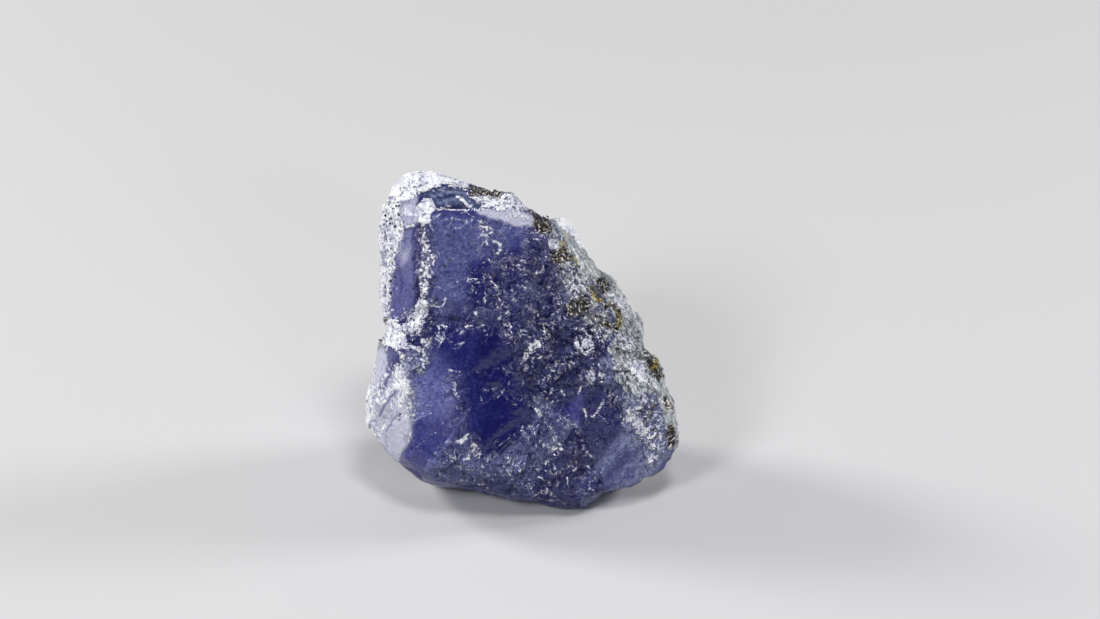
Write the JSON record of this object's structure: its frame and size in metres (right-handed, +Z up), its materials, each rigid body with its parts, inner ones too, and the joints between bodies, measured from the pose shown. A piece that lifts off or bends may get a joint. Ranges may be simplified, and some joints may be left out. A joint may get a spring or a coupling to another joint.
{
  "type": "rough tanzanite crystal",
  "caption": "Rough violet-blue gem crystal: a broken, leaning wedge with a frosted rind and clear windows, resting on a flat spot.",
  "frame": {"origin": "on the ground, on the flat spot that the stone rests on, under the middle of its box", "axes": "+Z up, +X to the right along the stone's broad front face, +Y from that face towards the back"},
  "size_m": [0.0218, 0.014, 0.0207],
  "materials": {
    "tanzanite": "see-through violet-blue crystal with a frosted, chipped and partly crusted skin"
  },
  "bodies": {
    "root": {"tanzanite": "tanzanite"}
  },
  "joints": []
}
